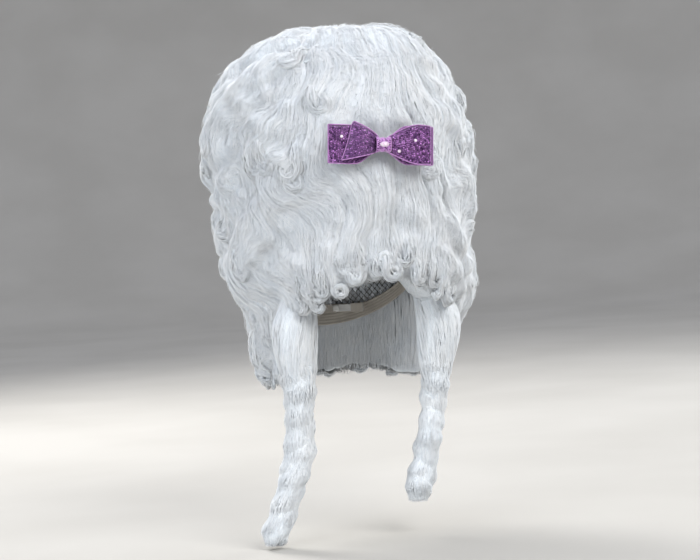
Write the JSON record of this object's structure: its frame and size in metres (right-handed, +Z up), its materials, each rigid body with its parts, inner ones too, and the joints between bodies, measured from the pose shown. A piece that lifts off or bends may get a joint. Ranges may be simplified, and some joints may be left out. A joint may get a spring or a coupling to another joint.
{
  "type": "costume wig",
  "caption": "Very tall white court-style costume wig with side ringlets, a pin-curl fringe and a clipped violet sequinned bow.",
  "frame": {"origin": "the crown of the wearer's head, where the inside of the cap rests on it", "axes": "+Z up, -Y to the front over the face, +X to the wearer's left"},
  "size_m": [0.2762, 0.3006, 0.519],
  "materials": {
    "hair": "soft white synthetic fibre, satin sheen",
    "cap_net": "elastic net",
    "band": "woven elastic, matt",
    "strap": "woven elastic with a moulded hook",
    "label": "blank woven label",
    "tower_net": "stiffened net",
    "wire": "white coated wire",
    "bone": "flexible boning",
    "wadding": "polyester wadding",
    "weft": "sewn weft track",
    "sequin_ribbon": "violet sequinned ribbon with satin edges",
    "stone": "clear cut stone",
    "clip_metal": "nickel plated"
  },
  "bodies": {
    "wig": {"cap_net": "cap_net", "cap_weft_1": "weft", "cap_weft_2": "weft", "cap_weft_3": "weft", "care_label": "label", "clip_fixed_jaw": "clip_metal", "clip_pin": "clip_metal", "clip_spring": "clip_metal", "crown_hair": "hair", "ear_tab_left": "band", "ear_tab_right": "band", "fringe_curls": "hair", "front_band": "band", "hook_pockets": "band", "nape_band": "band", "nape_curls_left": "hair", "nape_curls_right": "hair", "side_curls_left": "hair", "side_curls_right": "hair", "strap_sleeve_left": "band", "strap_sleeve_right": "band", "temple_lock_left": "hair", "temple_lock_right": "hair", "tower_hair_back_centre": "hair", "tower_hair_back_left": "hair", "tower_hair_back_right": "hair", "tower_hair_front_centre": "hair", "tower_hair_front_left": "hair", "tower_hair_front_right": "hair", "tower_hair_side_left": "hair", "tower_hair_side_right": "hair", "tower_hoop_1": "wire", "tower_hoop_2": "wire", "tower_hoop_3": "wire", "tower_lid": "tower_net", "tower_net": "tower_net", "tower_stays": "bone", "tower_wadding": "wadding", "tower_weft_1": "weft", "tower_weft_2": "weft", "tower_weft_3": "weft", "tower_weft_4": "weft"},
    "ringlet_left": {"ringlet_left": "hair"},
    "ringlet_right": {"ringlet_right": "hair"},
    "bow": {"bow_band": "sequin_ribbon", "bow_loop_left": "sequin_ribbon", "bow_loop_right": "sequin_ribbon", "bow_knot": "sequin_ribbon", "bow_stone": "stone", "bow_chips": "stone", "clip_moving_jaw": "clip_metal"},
    "strap_left": {"nape_strap_left": "strap"},
    "strap_right": {"nape_strap_right": "strap"}
  },
  "joints": [
    {"name": "ringlet_left_swing", "type": "hinge", "parent": "wig", "child": "ringlet_left", "pos_m": [0.074, -0.056, -0.202], "axis": [1, 0, 0], "range_deg": [-30, 12]},
    {"name": "ringlet_right_swing", "type": "hinge", "parent": "wig", "child": "ringlet_right", "pos_m": [-0.074, -0.056, -0.202], "axis": [1, 0, 0], "range_deg": [-30, 12]},
    {"name": "bow_clip_open", "type": "hinge", "parent": "wig", "child": "bow", "pos_m": [0.024, -0.1363, 0.036], "axis": [0, 0, 1], "range_deg": [0, 20], "stiffness_Nm_per_rad": 0.05, "springref_deg": -20.05},
    {"name": "strap_left_slide", "type": "slide", "parent": "wig", "child": "strap_left", "axis": [0.8829, -0.4695, 0], "range_m": [-0.007, 0.007]},
    {"name": "strap_right_slide", "type": "slide", "parent": "wig", "child": "strap_right", "axis": [-0.8829, -0.4695, 0], "range_m": [-0.007, 0.007]}
  ]
}
